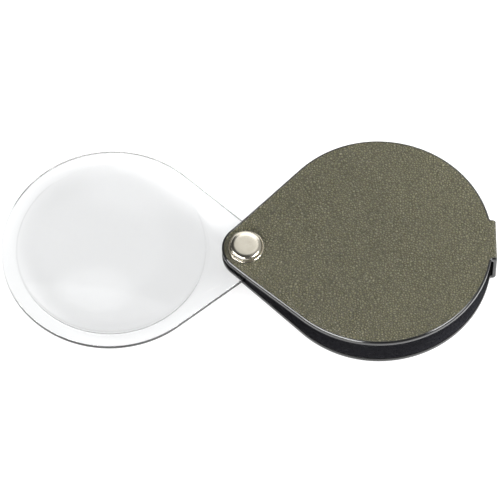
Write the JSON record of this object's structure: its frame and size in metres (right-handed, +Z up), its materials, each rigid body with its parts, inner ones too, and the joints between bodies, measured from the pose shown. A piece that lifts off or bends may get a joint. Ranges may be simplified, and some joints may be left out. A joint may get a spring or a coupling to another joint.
{
  "type": "folding pocket magnifier",
  "caption": "Folding pocket magnifier: a clear one-piece lens with a teardrop plate turns on a rivet between the stiff leaves of a teardrop leather case.",
  "frame": {"origin": "in the middle of the flat part of the case's back, on its long axis, 64 mm from the rivet towards the spine; the back lies on z = 0", "axes": "+X from the rivet to the spine, along the case; +Z up through the front leaf, along the rivet; +Y completes a right-handed frame"},
  "size_m": [0.1569, 0.0728, 0.0132],
  "materials": {
    "olive_leather": "satin",
    "black_lining": "satin",
    "greyboard": "matte",
    "clear_acrylic": "gloss",
    "nylon": "matte",
    "nickel": "satin"
  },
  "bodies": {
    "case": {"outer_leather": "olive_leather", "front_board": "greyboard", "back_board": "greyboard", "inner_lining": "black_lining", "spine_strip": "greyboard", "front_washer": "nylon", "back_washer": "nylon", "rivet_post": "nickel", "rivet_socket": "nickel", "front_rivet_cap": "nickel", "back_rivet_cap": "nickel"},
    "lens": {"lens": "clear_acrylic"}
  },
  "joints": [
    {"name": "lens_swivel", "type": "hinge", "parent": "case", "child": "lens", "pos_m": [-0.064, 0, 0.0066], "axis": [0, 0, 1], "continuous": true}
  ]
}
